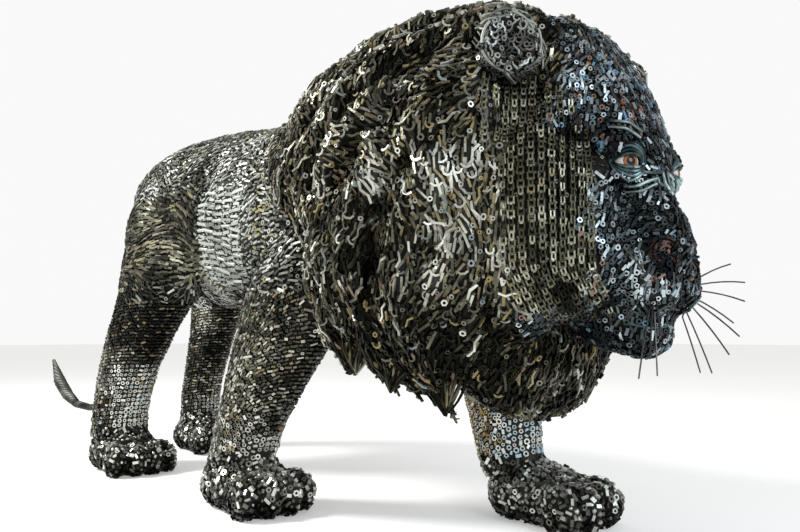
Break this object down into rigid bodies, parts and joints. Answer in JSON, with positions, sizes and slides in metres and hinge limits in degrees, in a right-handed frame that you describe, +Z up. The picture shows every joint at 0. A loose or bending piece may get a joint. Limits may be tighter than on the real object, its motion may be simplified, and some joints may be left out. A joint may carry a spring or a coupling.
{
  "type": "steel lion sculpture",
  "caption": "Life-size walking lion welded from scrap steel, with a heavy mane, lowered head, set-in eyes, wire whiskers and a trailing tail.",
  "frame": {"origin": "centre of the bounding box on the ground plane under the paws", "axes": "+X forward, the way the lion faces; +Y to the lion's left; +Z up"},
  "size_m": [2.663, 0.778, 1.1044],
  "materials": {
    "welded_steel": "dark raw scrap steel with worn highlights",
    "amber_eye": "glossy amber",
    "wire": "bent steel wire"
  },
  "bodies": {
    "root": {"welded_body": "welded_steel", "left_eye": "amber_eye", "right_eye": "amber_eye", "whisker_left_1": "wire", "whisker_left_2": "wire", "whisker_left_3": "wire", "whisker_left_4": "wire", "whisker_left_5": "wire", "whisker_left_6": "wire", "whisker_left_7": "wire", "whisker_left_8": "wire", "whisker_right_1": "wire", "whisker_right_2": "wire", "whisker_right_3": "wire", "whisker_right_4": "wire", "whisker_right_5": "wire", "whisker_right_6": "wire", "whisker_right_7": "wire", "whisker_right_8": "wire"}
  },
  "joints": []
}
